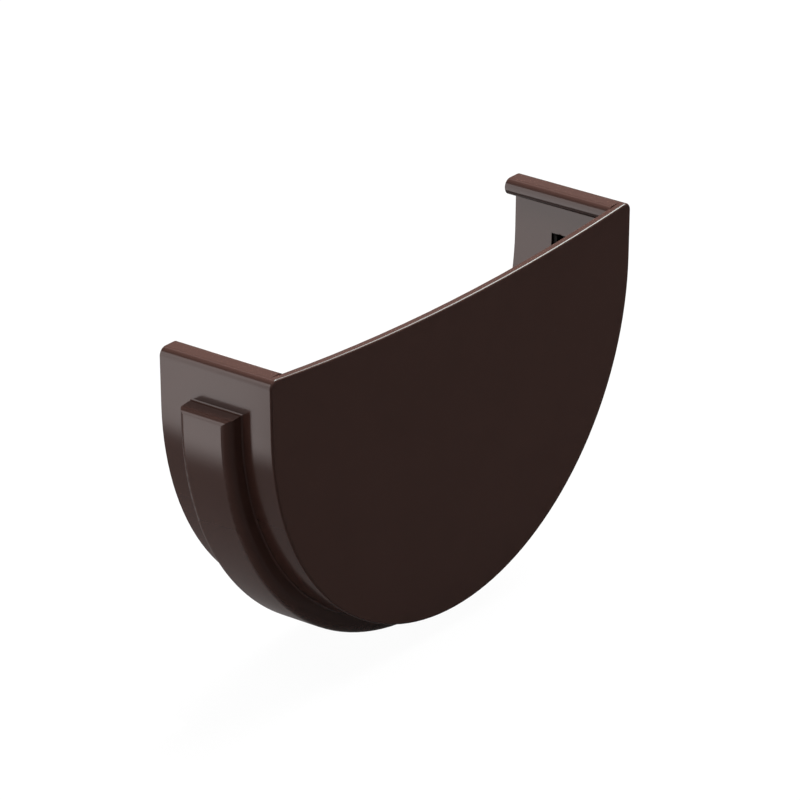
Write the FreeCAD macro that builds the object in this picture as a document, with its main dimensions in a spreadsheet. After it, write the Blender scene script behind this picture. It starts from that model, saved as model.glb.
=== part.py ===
import FreeCAD, Part
import math
import os

import Sketcher

# End cap of a half-round gutter: a plate with a U-shaped collar that slips over the gutter's end.
# X runs across the gutter, Y from the plate towards the gutter and Z up.
# The origin lies on the axis of the U, in the plate's inner face, where the gutter's end stops.

# Driving dimensions in millimetres, and two angles in degrees: name, value, what it measures
SIZES = (
    ("gutter_radius", 62.5, "outside of the gutter that the cap closes"),
    ("fit_clearance", 0.3, "room between the gutter and the collar"),
    ("wall_thickness", 2.2, "wall of the collar"),
    ("plate_thickness", 1.7, "end plate"),
    ("side_lean", 1.2, "angle by which the straight sides lean outwards"),
    ("rim_height", 12.1, "rims above the axis of the U"),
    ("rim_round", 1.95, "outer edge of the rims"),
    ("lip_reach", 4.48, "lips inwards from the collar's inner face"),
    ("lip_height", 4.0, "lips from their underside to the rim"),
    ("lip_top_round", 1.95, "upper edge of the lips' noses"),
    ("lip_nose_flat", 0.05, "upright stretch of the lips' noses"),
    ("plate_dip", 3.2, "middle of the plate's top edge below the rims"),
    ("plate_edge_round", 0.45, "front edge of the plate"),
    ("band_start", 6.6, "from the plate's inner face to the raised band"),
    ("band_width", 13.8, "raised band along the collar"),
    ("mouth_depth", 8.65, "from the raised band to the open end"),
    ("mouth_edge_chamfer", 0.15, "outer edge of the open end"),
    ("band_height", 4.5, "raised band above the collar"),
    ("band_wall", 1.8, "wall of the raised band behind the groove"),
    ("band_side_wall", 1.7, "walls of the raised band beside the groove"),
    ("band_end_wall", 2.2, "walls of the raised band above the groove's ends"),
    ("band_near_round", 2.2, "long outer edge of the raised band towards the plate"),
    ("band_far_round", 1.3, "long outer edge of the raised band towards the open end"),
    ("band_end_ledge", 1.15, "level strip of the raised band's ends beside the collar"),
    ("band_end_slope", 7.0, "angle by which the raised band's ends fall away outwards"),
    ("band_end_round", 1.3, "outer edge of the raised band's ends"),
    ("band_end_foot_round", 0.45, "inner corner between the raised band's ends and the collar"),
    ("band_foot_chamfer", 0.3, "inner corner between the raised band's flanks and the collar"),
    ("groove_end_rise", 0.2, "ends of the groove above the axis of the U"),
    ("seal_side_gap", 0.1, "room between the seal and each side of the groove"),
    ("seal_end_gap", 0.2, "room between the seal and each end of the groove"),
    ("seal_recess", 0.6, "face of the seal's strip behind the collar's inner face"),
    ("rib_width", 1.6, "ribs of the seal at their foot"),
    ("rib_crest", 0.5, "ribs of the seal at their tip"),
    ("rib_inset", 1.0, "ribs from the sides of the seal's strip"),
    ("rib_squeeze", 0.5, "tips of the ribs inside the gutter's outside"),
)
size = {name: value for name, value, meaning in SIZES}

document = FreeCAD.newDocument("GutterEndCap")
sheet = document.addObject("Spreadsheet::Sheet", "Sizes")
for row, (name, value, meaning) in enumerate(SIZES, start=1):
    sheet.set(f"A{row}", meaning)
    sheet.set(f"B{row}", str(value))
    sheet.setAlias(f"B{row}", name)
document.recompute()

# Formulas of the sheet that several pieces share
INNER_RADIUS = "(Sizes.gutter_radius + Sizes.fit_clearance)"
OUTER_RADIUS = f"({INNER_RADIUS} + Sizes.wall_thickness)"
BAND_RADIUS = f"({OUTER_RADIUS} + Sizes.band_height)"
GROOVE_RADIUS = f"({BAND_RADIUS} - Sizes.band_wall)"
BAND_END = "(Sizes.band_start + Sizes.band_width)"
COLLAR_DEPTH = f"({BAND_END} + Sizes.mouth_depth)"
GROOVE_START = "(Sizes.band_start + Sizes.band_side_wall)"
GROOVE_WIDTH = "(Sizes.band_width - 2 * Sizes.band_side_wall)"
GROOVE_MOUTH = f"({INNER_RADIUS} - Sizes.wall_thickness)"
LIP_UNDER_ROUND = "(Sizes.lip_height - Sizes.lip_top_round - Sizes.lip_nose_flat)"
END_ROUND = "min(Sizes.band_end_round; Sizes.band_end_wall)"

# The same lengths as numbers, for drawing each sketch where its dimensions will hold it
inner_radius = size["gutter_radius"] + size["fit_clearance"]
outer_radius = inner_radius + size["wall_thickness"]
band_radius = outer_radius + size["band_height"]
groove_radius = band_radius - size["band_wall"]
band_end = size["band_start"] + size["band_width"]
collar_depth = band_end + size["mouth_depth"]
end_round = min(size["band_end_round"], size["band_end_wall"])
rim = size["rim_height"]
lean = math.radians(size["side_lean"])
embed_radius = outer_radius - size["wall_thickness"] / 2

UP = FreeCAD.Vector(0, 0, 1)

# How a sketch numbers the places on a curve, and its own origin
START, END, CENTRE = range(1, 4)
ORIGIN_POINT = (-1, START)


def point(x, y):
    return FreeCAD.Vector(x, y, 0)


def line(start, end):
    return Part.LineSegment(point(*start), point(*end))


def arc(centre, radius, from_degrees, to_degrees):
    """An arc that turns anticlockwise between two angles."""
    circle = Part.Circle(point(*centre), UP, radius)
    return Part.ArcOfCircle(circle, math.radians(from_degrees), math.radians(to_degrees))


def new_body(label):
    body = document.addObject("PartDesign::Body", label)
    body.Label = label
    return body


def origin_plane(body, role):
    return next(item for item in body.Origin.OriginFeatures if item.Role == role)


def new_sketch(body, name, role):
    sketch = body.newObject("Sketcher::SketchObject", name)
    sketch.AttachmentSupport = (origin_plane(body, role), "")
    sketch.MapMode = "FlatFace"
    return sketch


def closed_loop(sketch, pieces):
    """Draw a closed loop of (curve, whether the loop follows its own sense, how it meets the next)."""
    ids = [sketch.addGeometry(curve) for curve, follows, meets in pieces]
    for place, (curve, follows, meets) in enumerate(pieces):
        after = (place + 1) % len(pieces)
        leaving = END if follows else START
        entering = START if pieces[after][1] else END
        sketch.addConstraint(Sketcher.Constraint(meets, ids[place], leaving, ids[after], entering))
    return ids


def tie(sketch, kind, *places):
    """Add a geometric constraint."""
    sketch.addConstraint(Sketcher.Constraint(kind, *places))


def dimension(sketch, formula, kind, *places):
    """Tie one measure of a sketch to the sheet, starting from the value that is drawn."""
    if kind == "Radius":
        drawn = sketch.Geometry[places[0]].Radius
    elif kind == "Angle":
        along = sketch.getPoint(places[0], END) - sketch.getPoint(places[0], START)
        drawn = math.atan2(along.y, along.x)
    else:
        span = sketch.getPoint(*places[2:]) - sketch.getPoint(*places[:2])
        drawn = span.x if kind == "DistanceX" else span.y
    index = sketch.addConstraint(Sketcher.Constraint(kind, *places, drawn))
    sketch.setExpression(f"Constraints[{index}]", formula)


def feature(body, kind, name, profile, **formulas):
    """Add a feature made from a sketch, with its measures bound to the sheet."""
    made = body.newObject(f"PartDesign::{kind}", name)
    made.Profile = profile
    for measure, formula in formulas.items():
        made.setExpression(measure, formula)
    return made


def turned(body, kind, name, profile, sweep):
    """Turn a section of the YZ plane about the axis of the U, as far to one side as to the other."""
    made = feature(body, kind, name, profile, Angle=sweep)
    made.ReferenceAxis = (profile, ["H_Axis"])
    made.Midplane = True
    return made


def edges_where(shape, chosen):
    """Names of the edges that lie wholly where the test is true."""
    names = []
    for number, edge in enumerate(shape.Edges, start=1):
        first, last = edge.ParameterRange
        ends_and_middle = (first, (first + last) / 2, last)
        if all(chosen(edge.valueAt(spot)) for spot in ends_and_middle):
            names.append(f"Edge{number}")
    return names


def eased(body, kind, name, base, chosen, **formulas):
    """Round or bevel the chosen edges of the body as it stands."""
    document.recompute()
    made = body.newObject(f"PartDesign::{kind}", name)
    made.Base = (base, edges_where(base.Shape, chosen))
    for measure, formula in formulas.items():
        made.setExpression(measure, formula)
    return made


def side_x(radius, z):
    """Where the straight side that leaves a given radius stands at a height."""
    return (radius + z * math.sin(lean)) / math.cos(lean)


# Cap body: plate, collar with lipped rims, and the raised band
cap = new_body("cap_body")

# Section of the right half of the collar, from the foot of the U up to the lip
section = new_sketch(cap, "CollarSection", "XZ_Plane")
lean_degrees = size["side_lean"]
under_z = rim - size["lip_height"]
under_round = size["lip_height"] - size["lip_top_round"] - size["lip_nose_flat"]
wall_x = side_x(inner_radius, under_z)
nose_x = wall_x - size["lip_reach"]
rim_centre = (side_x(outer_radius - size["rim_round"], rim - size["rim_round"]), rim - size["rim_round"])
rim_start = (
    rim_centre[0] + size["rim_round"] * math.cos(lean),
    rim_centre[1] - size["rim_round"] * math.sin(lean),
)
outer_tangent = (outer_radius * math.cos(lean), -outer_radius * math.sin(lean))
inner_tangent = (inner_radius * math.cos(lean), -inner_radius * math.sin(lean))
top_centre = (nose_x + size["lip_top_round"], rim - size["lip_top_round"])
under_centre = (nose_x + under_round, under_z + under_round)
(
    outer_arc, outer_side, rim_arc, rim_top, top_arc, nose, under_arc, underside, inner_side, inner_arc, foot
) = closed_loop(section, [
    (arc((0, 0), outer_radius, -90, -lean_degrees), True, "Tangent"),
    (line(outer_tangent, rim_start), True, "Tangent"),
    (arc(rim_centre, size["rim_round"], -lean_degrees, 90), True, "Tangent"),
    (line((rim_centre[0], rim), (top_centre[0], rim)), True, "Tangent"),
    (arc(top_centre, size["lip_top_round"], 90, 180), True, "Tangent"),
    (line((nose_x, top_centre[1]), (nose_x, under_centre[1])), True, "Tangent"),
    (arc(under_centre, under_round, 180, 270), True, "Tangent"),
    (line((under_centre[0], under_z), (wall_x, under_z)), True, "Coincident"),
    (line((wall_x, under_z), inner_tangent), True, "Tangent"),
    (arc((0, 0), inner_radius, -90, -lean_degrees), False, "Coincident"),
    (line((0, -inner_radius), (0, -outer_radius)), True, "Coincident"),
])
tie(section, "Coincident", outer_arc, CENTRE, *ORIGIN_POINT)
tie(section, "Coincident", inner_arc, CENTRE, *ORIGIN_POINT)
tie(section, "Vertical", *ORIGIN_POINT, outer_arc, START)
tie(section, "Vertical", *ORIGIN_POINT, inner_arc, START)
tie(section, "Horizontal", rim_top)
tie(section, "Horizontal", underside)
tie(section, "Vertical", nose)
tie(section, "Parallel", outer_side, inner_side)
dimension(section, OUTER_RADIUS, "Radius", outer_arc)
dimension(section, INNER_RADIUS, "Radius", inner_arc)
dimension(section, "90 deg - Sizes.side_lean * 1 deg", "Angle", outer_side)
dimension(section, "Sizes.rim_round", "Radius", rim_arc)
dimension(section, "Sizes.lip_top_round", "Radius", top_arc)
dimension(section, LIP_UNDER_ROUND, "Radius", under_arc)
dimension(section, "Sizes.rim_height", "DistanceY", *ORIGIN_POINT, rim_top, START)
dimension(section, "Sizes.lip_height", "DistanceY", underside, START, rim_top, START)
dimension(section, "Sizes.lip_reach", "DistanceX", nose, START, underside, END)
collar_half = feature(cap, "Pad", "CollarHalf", section, Length=COLLAR_DEPTH)
collar_half.Reversed = True

# Right half of the plate: the collar's outline under a top edge that dips towards the middle
outline = new_sketch(cap, "PlateOutline", "XZ_Plane")
dip_z = rim - size["plate_dip"]
centre_above_dip = rim_centre[1] - dip_z
dip_radius = (rim_centre[0] ** 2 + centre_above_dip ** 2 - size["rim_round"] ** 2) / (2 * size["plate_dip"])
dip_centre = (0, dip_z + dip_radius)
dip_degrees = math.degrees(math.atan2(rim_centre[0], dip_centre[1] - rim_centre[1]))
edge_arc, edge_side, corner_arc, top_edge, middle = closed_loop(outline, [
    (arc((0, 0), outer_radius, -90, -lean_degrees), True, "Tangent"),
    (line(outer_tangent, rim_start), True, "Tangent"),
    (arc(rim_centre, size["rim_round"], -lean_degrees, 90 + dip_degrees), True, "Tangent"),
    (arc(dip_centre, dip_radius, 270, 270 + dip_degrees), False, "Coincident"),
    (line((0, dip_z), (0, -outer_radius)), True, "Coincident"),
])
tie(outline, "Coincident", edge_arc, CENTRE, *ORIGIN_POINT)
tie(outline, "Vertical", *ORIGIN_POINT, edge_arc, START)
tie(outline, "Vertical", *ORIGIN_POINT, top_edge, CENTRE)
tie(outline, "Vertical", *ORIGIN_POINT, top_edge, START)
dimension(outline, OUTER_RADIUS, "Radius", edge_arc)
dimension(outline, "90 deg - Sizes.side_lean * 1 deg", "Angle", edge_side)
dimension(outline, "Sizes.rim_round", "Radius", corner_arc)
dimension(outline, "Sizes.rim_height - Sizes.rim_round", "DistanceY", *ORIGIN_POINT, corner_arc, CENTRE)
dimension(outline, "Sizes.rim_height - Sizes.plate_dip", "DistanceY", *ORIGIN_POINT, top_edge, START)
plate_half = feature(cap, "Pad", "PlateHalf", outline, Length="Sizes.plate_thickness")

# Section of the raised band, at the right end of the turn
band_section = new_sketch(cap, "BandSection", "XY_Plane")
near_round = size["band_near_round"]
far_round = size["band_far_round"]
near_y = size["band_start"]
near_x = band_radius - near_round
far_x = band_radius - far_round
near_flank, near_arc, face, far_arc, far_flank, root = closed_loop(band_section, [
    (line((embed_radius, near_y), (near_x, near_y)), True, "Tangent"),
    (arc((near_x, near_y + near_round), near_round, 270, 360), True, "Tangent"),
    (line((band_radius, near_y + near_round), (band_radius, band_end - far_round)), True, "Tangent"),
    (arc((far_x, band_end - far_round), far_round, 0, 90), True, "Tangent"),
    (line((far_x, band_end), (embed_radius, band_end)), True, "Coincident"),
    (line((embed_radius, band_end), (embed_radius, near_y)), True, "Coincident"),
])
tie(band_section, "Horizontal", near_flank)
tie(band_section, "Horizontal", far_flank)
tie(band_section, "Vertical", face)
tie(band_section, "Vertical", root)
dimension(band_section, "Sizes.band_near_round", "Radius", near_arc)
dimension(band_section, "Sizes.band_far_round", "Radius", far_arc)
dimension(band_section, f"{OUTER_RADIUS} - Sizes.wall_thickness / 2", "DistanceX", *ORIGIN_POINT, root, START)
dimension(band_section, BAND_RADIUS, "DistanceX", *ORIGIN_POINT, face, START)
dimension(band_section, "Sizes.band_start", "DistanceY", *ORIGIN_POINT, near_flank, START)
dimension(band_section, "Sizes.band_width", "DistanceY", root, END, root, START)

# The right half of the band turns from there to the foot of the U, and its end stands above the axis
band_half = feature(cap, "Revolution", "BandHalf", band_section, Angle="90 deg")
band_half.ReferenceAxis = (band_section, ["V_Axis"])
band_tip = feature(cap, "Pad", "BandEnd", band_section, Length="Sizes.band_end_wall")

# The corner that is cut from the band's end to slope it and to round its outer edge
corner = new_sketch(cap, "BandEndCorner", "XZ_Plane")
tip_z = size["band_end_wall"]
slope = math.radians(size["band_end_slope"])
ledge_x = outer_radius + size["band_end_ledge"]
round_x = band_radius - end_round
round_z = tip_z - (round_x - ledge_x) * math.tan(slope) - end_round / math.cos(slope)
slope_end = (round_x + end_round * math.sin(slope), round_z + end_round * math.cos(slope))
clear_x = band_radius + end_round
clear_z = tip_z + end_round
cut_arc, cut_ledge, cut_outside, cut_top, cut_inside, cut_slope = closed_loop(corner, [
    (arc((round_x, round_z), end_round, 0, 90 - size["band_end_slope"]), False, "Coincident"),
    (line((band_radius, round_z), (clear_x, round_z)), True, "Coincident"),
    (line((clear_x, round_z), (clear_x, clear_z)), True, "Coincident"),
    (line((clear_x, clear_z), (ledge_x, clear_z)), True, "Coincident"),
    (line((ledge_x, clear_z), (ledge_x, tip_z)), True, "Coincident"),
    (line((ledge_x, tip_z), slope_end), True, "Tangent"),
])
tie(corner, "Horizontal", cut_ledge)
tie(corner, "Vertical", cut_outside)
tie(corner, "Horizontal", cut_top)
tie(corner, "Vertical", cut_inside)
tie(corner, "Horizontal", cut_arc, CENTRE, cut_arc, START)
dimension(corner, END_ROUND, "Radius", cut_arc)
dimension(corner, BAND_RADIUS, "DistanceX", *ORIGIN_POINT, cut_arc, START)
dimension(corner, "-Sizes.band_end_slope * 1 deg", "Angle", cut_slope)
dimension(corner, f"{OUTER_RADIUS} + Sizes.band_end_ledge", "DistanceX", *ORIGIN_POINT, cut_slope, START)
dimension(corner, "Sizes.band_end_wall", "DistanceY", *ORIGIN_POINT, cut_slope, START)
dimension(corner, END_ROUND, "DistanceX", cut_ledge, START, cut_ledge, END)
dimension(corner, END_ROUND, "DistanceY", cut_inside, END, cut_inside, START)
tip_round = feature(cap, "Pocket", "BandEndRound", corner, Length=COLLAR_DEPTH)

# The left half mirrors the right half
document.recompute()
halves = cap.newObject("PartDesign::Mirrored", "BothHalves")
halves.Originals = [collar_half, plate_half, band_half, band_tip, tip_round]
halves.MirrorPlane = (origin_plane(cap, "YZ_Plane"), [""])
cap.Tip = halves

# The groove that holds the seal, open towards the gutter
groove_section = new_sketch(cap, "GrooveSection", "YZ_Plane")
groove_near = size["band_start"] + size["band_side_wall"]
groove_far = band_end - size["band_side_wall"]
open_radius = inner_radius - size["wall_thickness"]
groove_left, groove_floor, groove_right, groove_mouth = closed_loop(groove_section, [
    (line((groove_near, -open_radius), (groove_near, -groove_radius)), True, "Coincident"),
    (line((groove_near, -groove_radius), (groove_far, -groove_radius)), True, "Coincident"),
    (line((groove_far, -groove_radius), (groove_far, -open_radius)), True, "Coincident"),
    (line((groove_far, -open_radius), (groove_near, -open_radius)), True, "Coincident"),
])
tie(groove_section, "Vertical", groove_left)
tie(groove_section, "Vertical", groove_right)
tie(groove_section, "Horizontal", groove_floor)
tie(groove_section, "Horizontal", groove_mouth)
dimension(groove_section, GROOVE_START, "DistanceX", *ORIGIN_POINT, groove_left, START)
dimension(groove_section, GROOVE_WIDTH, "DistanceX", groove_floor, START, groove_floor, END)
dimension(groove_section, GROOVE_RADIUS, "DistanceY", groove_floor, START, *ORIGIN_POINT)
dimension(groove_section, GROOVE_MOUTH, "DistanceY", groove_mouth, START, *ORIGIN_POINT)
document.recompute()
volume_before_groove = cap.Shape.Volume
groove_sweep = f"180 deg + 2 * asin(Sizes.groove_end_rise / {GROOVE_RADIUS})"
groove = turned(cap, "Groove", "SealGroove", groove_section, groove_sweep)
document.recompute()
assert cap.Shape.Volume < volume_before_groove, "the groove cuts nothing"

# Edges eased last: the foot of the raised band, the open end, and the front of the plate
NEAR = 0.01


def on_collar_outside(spot):
    above_turn = spot.z > -outer_radius * math.sin(lean)
    on_side = above_turn and abs(abs(spot.x) - side_x(outer_radius, spot.z)) < NEAR
    on_arc = abs(math.hypot(spot.x, spot.z) - outer_radius) < NEAR
    return on_side or on_arc


def at_flank_foot(spot):
    beside_band = min(abs(spot.y - size["band_start"]), abs(spot.y - band_end)) < NEAR
    return beside_band and on_collar_outside(spot)


def at_end_foot(spot):
    along_band = size["band_start"] - NEAR < spot.y < band_end + NEAR
    level_with_end = abs(spot.z - size["band_end_wall"]) < NEAR
    return along_band and level_with_end and on_collar_outside(spot)


def on_open_end(spot):
    outside = math.hypot(spot.x, spot.z) > outer_radius - NEAR
    on_lip = spot.z > under_z - NEAR
    return abs(spot.y - collar_depth) < NEAR and (outside or on_lip)


def on_plate_front(spot):
    return abs(spot.y + size["plate_thickness"]) < NEAR


end_foot = eased(cap, "Fillet", "BandEndFootRound", groove, at_end_foot, Radius="Sizes.band_end_foot_round")
foot = eased(cap, "Chamfer", "BandFootChamfer", end_foot, at_flank_foot, Size="Sizes.band_foot_chamfer")
mouth = eased(cap, "Chamfer", "MouthEdgeChamfer", foot, on_open_end, Size="Sizes.mouth_edge_chamfer")
eased(cap, "Fillet", "PlateEdgeRound", mouth, on_plate_front, Radius="Sizes.plate_edge_round")

# Rubber seal: a strip that fills the groove, with two wedge ribs that press on the gutter
seal = new_body("rubber_seal")
profile = new_sketch(seal, "SealSection", "YZ_Plane")
STRIP_RADIUS = f"({INNER_RADIUS} + Sizes.seal_recess)"
strip_near = groove_near + size["seal_side_gap"]
strip_far = groove_far - size["seal_side_gap"]
strip_radius = inner_radius + size["seal_recess"]
tip_radius = size["gutter_radius"] - size["rib_squeeze"]
rib_slope = (size["rib_width"] - size["rib_crest"]) / 2
rib_near = strip_near + size["rib_inset"]
rib_far = strip_far - size["rib_inset"]
seal_corners = [
    (strip_near, -groove_radius),
    (strip_far, -groove_radius),
    (strip_far, -strip_radius),
    (rib_far, -strip_radius),
    (rib_far - rib_slope, -tip_radius),
    (rib_far - rib_slope - size["rib_crest"], -tip_radius),
    (rib_far - size["rib_width"], -strip_radius),
    (rib_near + size["rib_width"], -strip_radius),
    (rib_near + rib_slope + size["rib_crest"], -tip_radius),
    (rib_near + rib_slope, -tip_radius),
    (rib_near, -strip_radius),
    (strip_near, -strip_radius),
]
(
    back, far_side, far_ledge, far_rise, far_crest, far_fall, valley,
    near_rise, near_crest, near_fall, near_ledge, near_side,
) = closed_loop(profile, [
    (line(corner_here, corner_next), True, "Coincident")
    for corner_here, corner_next in zip(seal_corners, seal_corners[1:] + seal_corners[:1])
])
for level in (back, far_ledge, far_crest, valley, near_crest, near_ledge):
    tie(profile, "Horizontal", level)
for upright in (far_side, near_side):
    tie(profile, "Vertical", upright)
for slope in (far_fall, near_rise, near_fall):
    tie(profile, "Equal", far_rise, slope)
tie(profile, "Equal", far_crest, near_crest)
tie(profile, "Equal", far_ledge, near_ledge)
tie(profile, "Horizontal", far_ledge, END, valley, START)
tie(profile, "Horizontal", valley, END, near_ledge, START)
tie(profile, "Horizontal", far_crest, START, near_crest, START)
dimension(profile, f"{GROOVE_START} + Sizes.seal_side_gap", "DistanceX", *ORIGIN_POINT, back, START)
dimension(profile, f"{GROOVE_WIDTH} - 2 * Sizes.seal_side_gap", "DistanceX", back, START, back, END)
dimension(profile, GROOVE_RADIUS, "DistanceY", back, START, *ORIGIN_POINT)
dimension(profile, STRIP_RADIUS, "DistanceY", far_ledge, START, *ORIGIN_POINT)
dimension(profile, "Sizes.gutter_radius - Sizes.rib_squeeze", "DistanceY", near_crest, START, *ORIGIN_POINT)
dimension(profile, "Sizes.rib_inset", "DistanceX", near_ledge, END, near_ledge, START)
dimension(profile, "Sizes.rib_width", "DistanceX", near_fall, END, near_rise, START)
dimension(profile, "Sizes.rib_crest", "DistanceX", near_crest, END, near_crest, START)
seal_sweep = f"180 deg + 2 * asin((Sizes.groove_end_rise - Sizes.seal_end_gap) / {GROOVE_RADIUS})"
turned(seal, "Revolution", "SealStrip", profile, seal_sweep)

# Every object has to be sound before a file is written
document.recompute()
for item in document.Objects:
    assert not {"Invalid", "Error"} & set(item.State), f"{item.Name} failed: {item.State}"
os.makedirs("parts", exist_ok=True)
for body in (cap, seal):
    shape = body.Shape
    assert not shape.isNull() and shape.isValid(), f"{body.Label} is not a sound solid"
    assert len(shape.Solids) == 1, f"{body.Label} is not one solid"
    print(body.Label, "volume", round(shape.Volume, 1), "mm3, box", shape.BoundBox)
for body in (cap, seal):
    body.Shape.exportStep(f"parts/{body.Label}.step")
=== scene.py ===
# %% [markdown]
# # A gutter end cap in dark brown plastic
# The cap closes the open end of a half-round gutter. It is one moulding of PVC: a plate with a dipped
# top edge, a U-shaped collar with lips along its rims, and a raised band round the collar. The band is
# hollow inside, and its groove holds a strip of black rubber that presses on the gutter.
# The solids of the construction model already have these shapes, so this lesson gives them finishes,
# light and a camera.

import math

import bpy
import numpy as np
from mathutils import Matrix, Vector


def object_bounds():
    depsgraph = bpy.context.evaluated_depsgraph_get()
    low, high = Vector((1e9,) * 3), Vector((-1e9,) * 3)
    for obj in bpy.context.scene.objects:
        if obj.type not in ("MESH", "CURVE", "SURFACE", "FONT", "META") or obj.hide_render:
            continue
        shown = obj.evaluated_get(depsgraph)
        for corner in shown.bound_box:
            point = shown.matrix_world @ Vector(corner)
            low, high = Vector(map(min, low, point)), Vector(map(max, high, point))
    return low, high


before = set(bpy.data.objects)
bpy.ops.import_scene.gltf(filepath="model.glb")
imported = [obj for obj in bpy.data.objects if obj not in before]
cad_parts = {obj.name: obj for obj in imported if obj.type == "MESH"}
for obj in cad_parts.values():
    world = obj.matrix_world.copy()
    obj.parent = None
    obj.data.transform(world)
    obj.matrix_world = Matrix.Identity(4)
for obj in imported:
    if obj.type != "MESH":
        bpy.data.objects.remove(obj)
solid_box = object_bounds()
MM = 0.001
print("nodes:", sorted(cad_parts), "box in mm:", np.round(np.array(solid_box) / MM, 1).tolist())

# %% [markdown]
# ## The camera
# The picture was taken from the cap's left front and a little above it, with so long a lens that edges
# that run side by side stay almost parallel. A camera can be aimed by hand, but this one is set by its
# azimuth, its height above the horizon and its distance, because those three can be read off the picture
# from the U's ellipse and the rims.

# %% Place the camera
AZIMUTH = math.radians(307.607)
ELEVATION = math.radians(23.613)
DISTANCE = 1363.2 * MM
AIM = Vector((-20.34, -1.55, -7.45)) * MM
FOCAL_LENGTH = 281.38
NEAREST_SEEN = 0.05

towards_camera = Vector((
    math.sin(AZIMUTH) * math.cos(ELEVATION),
    -math.cos(AZIMUTH) * math.cos(ELEVATION),
    math.sin(ELEVATION),
))
camera = bpy.data.objects.new("camera", bpy.data.cameras.new("camera"))
camera.data.lens = FOCAL_LENGTH
camera.data.clip_start = NEAREST_SEEN
camera.location = AIM + DISTANCE * towards_camera
camera.rotation_euler = towards_camera.to_track_quat("Z", "Y").to_euler()
bpy.context.collection.objects.link(camera)
bpy.context.scene.camera = camera
print("camera at", [round(value, 3) for value in camera.location])

# %% [markdown]
# ## Colours and nodes
# Colours are written as sRGB hex values, as a paint chart gives them, and shaders want linear light, so
# one function turns the first into the second. A second function adds a shader node with its settings
# and its inputs in one line: an input is either a plain value or the output of an earlier node. A third
# one starts an empty material.

# %% Three helpers for materials
PURE_WHITE = "#FFFFFF"


def linear(hex_colour):
    """Linear red, green, blue and alpha of an sRGB hex colour."""
    parts = np.array([int(hex_colour[place:place + 2], 16) for place in (1, 3, 5)]) / 255
    lit = np.where(parts <= 0.04045, parts / 12.92, ((parts + 0.055) / 1.055) ** 2.4)
    return (*lit.tolist(), 1.0)


def add(tree, kind, inputs=None, **settings):
    """Add a node with its settings, and give its inputs values or links."""
    made = tree.nodes.new(kind)
    for name, value in settings.items():
        setattr(made, name, value)
    for name, value in (inputs or {}).items():
        if isinstance(value, bpy.types.NodeSocket):
            tree.links.new(value, made.inputs[name])
        else:
            made.inputs[name].default_value = value
    return made


def new_material(name):
    """An empty material: the material and its node tree."""
    material = bpy.data.materials.new(name)
    material.use_nodes = True
    material.node_tree.nodes.clear()
    return material, material.node_tree


print("white as linear light:", linear(PURE_WHITE))

# %% [markdown]
# ## Surfaces for the studio
# The floor, the boards and the tent of the studio are all turned shapes: a line of radii and heights is
# carried round an upright axis. Blender's Spin tool does that too, but as a formula on a grid it is one
# short function, and it can also turn only part of the way round.

# %% A turned surface
TURN_STEP = 2
ALL_ROUND = (0, 360)
MIDDLE = (0, 0)


def turned(name, centre, radii, heights, sector, material):
    """Carry a line of radii and heights round an upright axis, through a sector given in degrees.

    A point at radius r, height h and angle a lies at x = r cos a, y = r sin a from the centre, and z = h.
    """
    steps = round((sector[1] - sector[0]) / TURN_STEP) + 1
    angle = np.radians(np.linspace(sector[0], sector[1], steps))[:, None]
    x = centre[0] + np.array(radii) * np.cos(angle)
    y = centre[1] + np.array(radii) * np.sin(angle)
    z = np.broadcast_to(heights, x.shape)
    points = np.stack([x, y, z], axis=-1).reshape(-1, 3)
    row = len(radii)
    first = (np.arange(steps - 1)[:, None] * row + np.arange(row - 1)).reshape(-1, 1)
    quads = first + np.array([0, 1, row + 1, row])
    mesh = bpy.data.meshes.new(name)
    mesh.from_pydata(points.tolist(), [], quads.tolist())
    mesh.materials.append(material)
    piece = bpy.data.objects.new(name, mesh)
    bpy.context.collection.objects.link(piece)
    print(name, "has", len(mesh.polygons), "faces")
    return piece


# %% [markdown]
# ## The white floor
# The cap is shown on a white ground. A floor bright enough to look white would also throw light up on
# the cap from below, and the dark plate shows that little comes from there. So the floor is white only
# for rays that look at it straight, in a reflection or through glass, and dim for light that bounces. Its
# small share of real reflection keeps a soft shadow under the cap. It lies a hair's breadth below the
# cap, because the tent's cloth and a board come between them.

# %% Lay the floor
FLOOR_GAP = 0.3 * MM
FLOOR_RADIUS = 8.0
FLOOR_GLOW = 0.97
FLOOR_SHADOW_SHARE = 0.03
FLOOR_BOUNCE = 0.20

floor_z = solid_box[0][2] - FLOOR_GAP


def grey(share):
    """The colour of a surface that returns this share of the light."""
    return (share, share, share, 1.0)


def looking_rays(tree):
    """One for rays from the camera, from a gloss or through glass, nought for light that bounces."""
    path = add(tree, "ShaderNodeLightPath").outputs
    looking = path["Is Camera Ray"]
    for kind in ("Is Glossy Ray", "Is Transmission Ray"):
        looking = add(tree, "ShaderNodeMath", {0: looking, 1: path[kind]}, operation="MAXIMUM").outputs[0]
    return looking


paper, tree = new_material("white paper ground")
glow = add(tree, "ShaderNodeEmission", {"Color": linear(PURE_WHITE), "Strength": FLOOR_GLOW})
shadowed = add(tree, "ShaderNodeBsdfDiffuse", {"Color": grey(FLOOR_SHADOW_SHARE)})
looked_at = add(tree, "ShaderNodeAddShader", {0: glow.outputs[0], 1: shadowed.outputs[0]})
bounced = add(tree, "ShaderNodeBsdfDiffuse", {"Color": grey(FLOOR_BOUNCE)})
choice = add(tree, "ShaderNodeMixShader", {
    0: looking_rays(tree), 1: bounced.outputs[0], 2: looked_at.outputs[0],
})
add(tree, "ShaderNodeOutputMaterial", {"Surface": choice.outputs[0]})
turned("floor", MIDDLE, (0, FLOOR_RADIUS), (floor_z, floor_z), ALL_ROUND, paper)
print("floor at z", round(floor_z / MM, 1), "mm")

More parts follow.
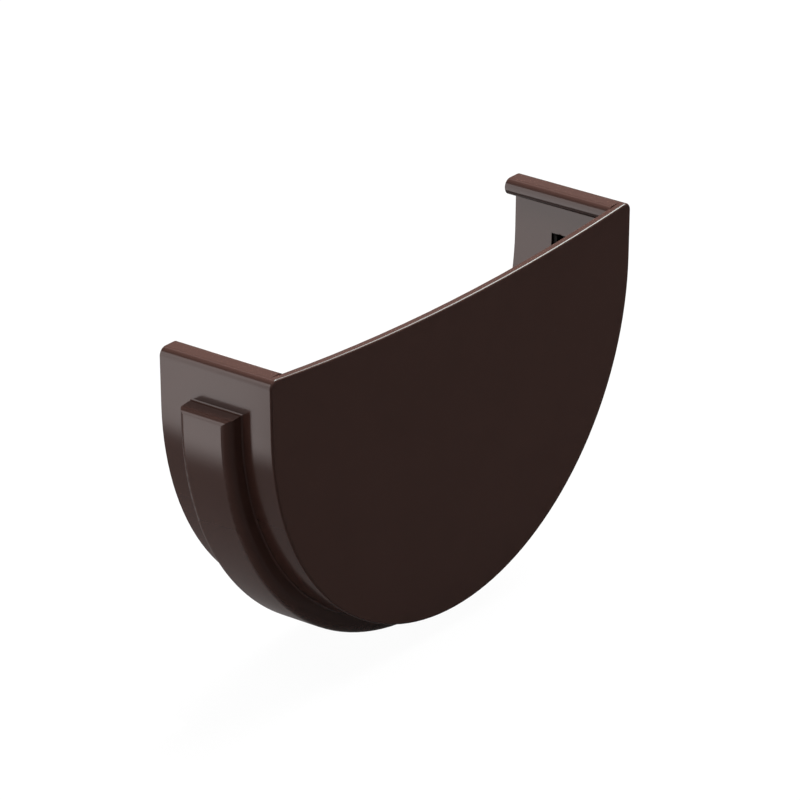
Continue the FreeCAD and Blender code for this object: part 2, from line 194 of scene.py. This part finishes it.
# %% [markdown]
# ## The white room
# Behind the floor's edge the picture is white too. A backdrop could stand there, but the world's own
# background needs no mesh. It is split in the same way: white where it is looked at, and a faint even
# light from all sides for the cap.

# %% Light the room
ROOM_LIGHT = 0.09
ROOM_WHITE = 1.0

scene = bpy.context.scene
scene.view_settings.view_transform = "Standard"
scene.world = bpy.data.worlds.new("studio room")
scene.world.use_nodes = True
tree = scene.world.node_tree
tree.nodes.clear()
room = add(tree, "ShaderNodeBackground", {"Color": linear(PURE_WHITE), "Strength": ROOM_LIGHT})
white = add(tree, "ShaderNodeBackground", {"Color": linear(PURE_WHITE), "Strength": ROOM_WHITE})
choice = add(tree, "ShaderNodeMixShader", {
    0: looking_rays(tree), 1: room.outputs[0], 2: white.outputs[0],
})
add(tree, "ShaderNodeOutputWorld", {"Surface": choice.outputs[0]})
print("room light", ROOM_LIGHT, "with", len(tree.nodes), "nodes")

# %% [markdown]
# ## Lamps
# The upward faces are lit strongly from high on the right, and a weak light from high on the left reaches
# the ends of the raised band. A lamp could be a small bright panel, but these are broad discs, because
# broad light gives the soft shading that the picture shows. Neither is seen in the gloss: what the gloss
# mirrors is built apart, below, so that shading and highlights can each be set by themselves.

# %% Hang the lamps
LAMP_DISTANCE = 3.0
RIGHT_LAMP = {"direction": (0.58, 0.08, 0.81), "half_angle": 26, "level": 2.42}
LEFT_LAMP = {"direction": (-0.45, 0.20, 0.87), "half_angle": 15, "level": 0.42}


def disc_lamp(name, direction, half_angle, level):
    """A round lamp that faces the cap from a direction.

    A disc of radius R at a distance D lights a facing surface by P / (pi (D^2 + R^2)), where P is its
    power, and a level of 1 is the light that shows a colour as it is written, which is pi.
    """
    direction = Vector(direction).normalized()
    radius = LAMP_DISTANCE * math.tan(math.radians(half_angle))
    data = bpy.data.lights.new(name, "AREA")
    data.shape = "DISK"
    data.size = 2 * radius
    data.energy = level * math.pi ** 2 * (LAMP_DISTANCE ** 2 + radius ** 2)
    lamp = bpy.data.objects.new(name, data)
    lamp.location = LAMP_DISTANCE * direction
    lamp.rotation_euler = direction.to_track_quat("Z", "Y").to_euler()
    lamp.visible_glossy = False
    bpy.context.collection.objects.link(lamp)
    print(name, "of", round(data.size, 2), "m and", round(data.energy), "W")


disc_lamp("right lamp", **RIGHT_LAMP)
disc_lamp("left lamp", **LEFT_LAMP)

# %% [markdown]
# ## What the gloss sees
# Glossy dark plastic shows its studio as much as its own colour. The cap's left faces mirror something
# white that ends softly below, its inner right wall mirrors white too, the plate mirrors nothing bright,
# and the plate's upper edge catches a lamp. Small lamps could make these reflections, but each has its own
# outline and its own fade on the gloss, so they are glowing boards and cloths, and only reflections meet
# them. Two helpers come first: a material that glows and fades along an axis, and a switch for the kinds
# of ray that meet a studio piece. Boards are a slightly warm white, and the lamp's light is a cool one.

# %% Glowing material and ray switch
BOARD_WHITE = "#FFF5F3"
LAMP_WHITE = "#EFFFFD"


def glowing(name, colour, level, *fades):
    """A material that only glows, at one level or fading from it to others along axes of the piece.

    Each fade is an axis, the two places between which the level changes, the level after them, and whether
    it changes evenly, LINEAR, or with soft ends, SMOOTHSTEP.
    """
    material, tree = new_material(name)
    place = add(tree, "ShaderNodeTexCoord").outputs["Object"]
    axes = add(tree, "ShaderNodeSeparateXYZ", {0: place}).outputs
    for axis, places, after, easing in fades:
        level = add(tree, "ShaderNodeMapRange", {
            "Value": axes[axis], "From Min": places[0], "From Max": places[1],
            "To Min": level, "To Max": after,
        }, interpolation_type=easing).outputs[0]
    light = add(tree, "ShaderNodeEmission", {"Color": linear(colour), "Strength": level})
    add(tree, "ShaderNodeOutputMaterial", {"Surface": light.outputs[0]})
    print(name, "with", len(tree.nodes), "nodes")
    return material


def show_to(rays, piece):
    """Let only one kind of ray meet a studio piece."""
    for kind in ("camera", "diffuse", "glossy", "transmission", "volume_scatter", "shadow"):
        setattr(piece, "visible_" + kind, kind == rays)


# %% [markdown]
# ## The dark tent
# The plate in the picture is nearly as dark as its pigment, so what it mirrors must be dark, although the
# ground round the cap is white. A black cloth tent does that in a studio. Here it lies just above the floor
# and stands round everything, a little lighter behind the cap and above it, where the collar and the rims
# look.

# %% Put up the tent
TENT_RADIUS = 4.0
TENT_GAP = 0.1 * MM
TENT_FRONT = 0.075
TENT_BACK = 0.25
TENT_ABOVE = 0.22
TENT_BACK_FADE = (8 * MM, 36 * MM)
TENT_RISE_FADE = (0.0, 0.3)

tent_z = floor_z + TENT_GAP
black_cloth = glowing(
    "black studio cloth", BOARD_WHITE, TENT_FRONT,
    ("Y", TENT_BACK_FADE, TENT_BACK, "LINEAR"), ("Z", TENT_RISE_FADE, TENT_ABOVE, "LINEAR"),
)
tent_radii = (0, TENT_RADIUS, TENT_RADIUS, 0)
tent_heights = (tent_z, tent_z, TENT_RADIUS, TENT_RADIUS)
show_to("glossy", turned("dark tent", MIDDLE, tent_radii, tent_heights, ALL_ROUND, black_cloth))

# %% [markdown]
# ## The white board
# The collar and the raised band are bright above and dark below, with a soft change between. A white board
# gives that: it lies on the floor at the cap's left, behind the plate, and bends up further back. Towards
# the cap its glow fades to the tent's own darkness, a painted shadow of the cap on the floor, and the fade
# is soft because a sharp end would show as a hard line on the gloss.

# %% Lay the white board
BOARD_CENTRE = (-65 * MM, 15 * MM)
BOARD_GAP = 0.2 * MM
BOARD_RADII = (0.05, 0.55, 0.55)
BOARD_TOP = 0.43
BOARD_SECTOR = (130, 147)
# Painted shadow: near the cap the board glows only as dimly as the tent, where the cap's shadow would lie.
BOARD_SHADOW_FADE = (-119 * MM, -157 * MM)
BOARD_LEVEL = 2.3

board_z = floor_z + BOARD_GAP
lit_board = glowing(
    "lit white board", BOARD_WHITE, TENT_BACK, ("X", BOARD_SHADOW_FADE, BOARD_LEVEL, "SMOOTHSTEP"),
)
board_heights = (board_z, board_z, BOARD_TOP)
show_to("glossy", turned("white board", BOARD_CENTRE, BOARD_RADII, board_heights, BOARD_SECTOR, lit_board))

# %% [markdown]
# ## Two cards
# The inner right wall is evenly bright. The board can't reach it, so a small curved card stands inside the
# cap, where that wall looks. The left side also gets some light from below, as from a white floor. The
# floor is dim for such light, so a card lies there that only lights and is never seen.

# %% Stand and lay the cards
CARD_CENTRE = (63 * MM, 17 * MM)
CARD_RADII = (75 * MM, 75 * MM)
CARD_HEIGHTS = (-48 * MM, 4 * MM)
CARD_SECTOR = (127, 163)
CARD_LEVEL = 2.27
SIDE_RADII = (0.01, 0.50)
SIDE_SECTOR = (95, 180)
SIDE_LEVEL = 1.15

lit_card = glowing("lit white card", BOARD_WHITE, CARD_LEVEL)
show_to("glossy", turned("inner card", CARD_CENTRE, CARD_RADII, CARD_HEIGHTS, CARD_SECTOR, lit_card))
dim_card = glowing("dim white card", BOARD_WHITE, SIDE_LEVEL)
show_to("diffuse", turned("side card", BOARD_CENTRE, SIDE_RADII, (board_z, board_z), SIDE_SECTOR, dim_card))

# %% [markdown]
# ## Lamp cloth and strip
# The plate's rounded upper edge carries the brightest line of the picture, which grows towards the right,
# and the rims carry faint streaks. A bare lamp would burn the line out, so a cloth hangs before the right
# lamp, brighter towards its upper edge. A dim strip high behind the cap gives the streaks.

# %% Hang the cloth and the strip
CLOTH_RADII = (3.2, 2.75, 2.0, 1.2)
CLOTH_HEIGHTS = (1.9, 2.5, 3.1, 3.5)
CLOTH_SECTOR = (-28, 26)
CLOTH_FADE = (1.9, 3.1)
CLOTH_LOW = 0.4
CLOTH_HIGH = 15.5
STRIP_RADII = (2.5, 2.1)
STRIP_HEIGHTS = (2.4, 2.7)
STRIP_SECTOR = (50, 68)
STRIP_LEVEL = 0.9

lamp_cloth = glowing("bright lamp cloth", LAMP_WHITE, CLOTH_LOW, ("Z", CLOTH_FADE, CLOTH_HIGH, "LINEAR"))
show_to("glossy", turned("lamp cloth", MIDDLE, CLOTH_RADII, CLOTH_HEIGHTS, CLOTH_SECTOR, lamp_cloth))
dim_strip = glowing("dim white strip", BOARD_WHITE, STRIP_LEVEL)
show_to("glossy", turned("back strip", MIDDLE, STRIP_RADII, STRIP_HEIGHTS, STRIP_SECTOR, dim_strip))

# %% [markdown]
# ## Moulded PVC
# Gutter fittings are injection-moulded in hard PVC that is brown all through. The polished mould leaves a
# smooth gloss with the faintest grain, and the pigment is a little uneven where the melt flowed. One flat
# brown would look like paint, so two browns mix in slow patches, and the polish changes with them. The
# gloss is a plain dielectric one: the colour comes back brown from inside, and the shine stays white.

# %% Make the PVC
BROWN_LIGHT = "#462F29"
BROWN_DARK = "#422B25"
FLOW_WIDTH = 22 * MM
FLOW_DETAIL = 3.0
# Real mould grain is about 0.1 mm wide, too fine for the picture, so it is drawn at 0.6 mm.
GRAIN_WIDTH = 0.6 * MM
GRAIN_DEPTH = 0.0012 * MM
PVC_ROUGHNESS = (0.13, 0.18)
PVC_IOR = 1.53

pvc, tree = new_material("moulded brown PVC")
place = add(tree, "ShaderNodeTexCoord").outputs["Object"]
flow = add(tree, "ShaderNodeTexNoise", {
    "Vector": place, "Scale": 1 / FLOW_WIDTH, "Detail": FLOW_DETAIL,
}).outputs["Fac"]
grain = add(tree, "ShaderNodeTexNoise", {"Vector": place, "Scale": 1 / GRAIN_WIDTH}).outputs["Fac"]
brown = add(tree, "ShaderNodeMix", {
    "Factor": flow, "A": linear(BROWN_LIGHT), "B": linear(BROWN_DARK),
}, data_type="RGBA")
polish = add(tree, "ShaderNodeMapRange", {
    "Value": flow, "To Min": PVC_ROUGHNESS[0], "To Max": PVC_ROUGHNESS[1],
})
relief = add(tree, "ShaderNodeBump", {"Height": grain, "Distance": GRAIN_DEPTH, "Strength": 1.0})
shader = add(tree, "ShaderNodeBsdfPrincipled", {
    "Base Color": brown.outputs["Result"], "Roughness": polish.outputs[0], "IOR": PVC_IOR,
    "Normal": relief.outputs[0],
})
add(tree, "ShaderNodeOutputMaterial", {"Surface": shader.outputs[0]})
print(pvc.name, "with", len(tree.nodes), "nodes")

# %% [markdown]
# ## Extruded rubber
# The seal is a strip of black EPDM, pressed through a die and laid round the groove. The die leaves fine
# lines along the strip. A plain noise would show specks, but the lines follow the turn, so the pattern is
# worked out from the radius, the depth and the angle round the gutter's axis, and stretched along it.

# %% Lines along the strip
# Die lines are about 0.1 mm apart, and are drawn at 0.4 mm so that they show.
LINE_WIDTH = 0.4 * MM
LINE_STRETCH = 60
WITHOUT_DEPTH = (1.0, 0.0, 1.0)

rubber, tree = new_material("extruded EPDM rubber")
place = add(tree, "ShaderNodeTexCoord").outputs["Object"]
axes = add(tree, "ShaderNodeSeparateXYZ", {0: place}).outputs
across = add(tree, "ShaderNodeVectorMath", {0: place, 1: WITHOUT_DEPTH}, operation="MULTIPLY").outputs[0]
radius = add(tree, "ShaderNodeVectorMath", {0: across}, operation="LENGTH").outputs["Value"]
turn = add(tree, "ShaderNodeMath", {0: axes["Z"], 1: axes["X"]}, operation="ARCTAN2").outputs[0]
along = add(tree, "ShaderNodeMath", {0: turn, 1: radius}, operation="MULTIPLY").outputs[0]
slow = add(tree, "ShaderNodeMath", {0: along, 1: LINE_STRETCH}, operation="DIVIDE").outputs[0]
laid = add(tree, "ShaderNodeCombineXYZ", {"X": radius, "Y": axes["Y"], "Z": slow}).outputs[0]
lines = add(tree, "ShaderNodeTexNoise", {"Vector": laid, "Scale": 1 / LINE_WIDTH}).outputs["Fac"]
print("die lines drawn", round(LINE_WIDTH / MM, 1), "mm wide with", len(tree.nodes), "nodes")

# %% [markdown]
# ## The rubber's surface
# Carbon black makes the rubber matt and almost colourless. A plain black would hide the strip's form, so
# two blacks, the roughness and a low relief follow the lines. Its specular level is set under the usual
# half as painted shade for the deep groove round the strip.

# %% Make the rubber
BLACK_LIGHT = "#0C0B0B"
BLACK_DARK = "#070606"
LINE_DEPTH = 0.02 * MM
RUBBER_ROUGHNESS = (0.52, 0.68)
RUBBER_IOR = 1.52
# Painted shade: the rubber's specular level is lowered for the groove round the strip.
GROOVE_SHADE_SHINE = 0.15

black = add(tree, "ShaderNodeMix", {
    "Factor": lines, "A": linear(BLACK_LIGHT), "B": linear(BLACK_DARK),
}, data_type="RGBA")
matt = add(tree, "ShaderNodeMapRange", {
    "Value": lines, "To Min": RUBBER_ROUGHNESS[0], "To Max": RUBBER_ROUGHNESS[1],
})
relief = add(tree, "ShaderNodeBump", {"Height": lines, "Distance": LINE_DEPTH, "Strength": 1.0})
shader = add(tree, "ShaderNodeBsdfPrincipled", {
    "Base Color": black.outputs["Result"], "Roughness": matt.outputs[0], "IOR": RUBBER_IOR,
    "Specular IOR Level": GROOVE_SHADE_SHINE, "Normal": relief.outputs[0],
})
add(tree, "ShaderNodeOutputMaterial", {"Surface": shader.outputs[0]})
print(rubber.name, "with", len(tree.nodes), "nodes")

# %% [markdown]
# ## Finishes on the solids
# The solids stay as the construction model has them. Every corner of their triangles knows the true
# direction of the surface there, so the lips and the U shade as smoothly as the moulding, the flats stay
# flat, and real edges stay crisp. A copy smoothed by angle would only bend the shading of flats beside
# their narrow roundings. So each solid just gets its finish in its material slots.

# %% Give the solids their finishes
for node, finish in (("cap_body", pvc), ("rubber_seal", rubber)):
    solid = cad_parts[node]
    for slot in solid.material_slots:
        slot.material = finish
    print(node, "has", len(solid.data.polygons), "faces in", finish.name)
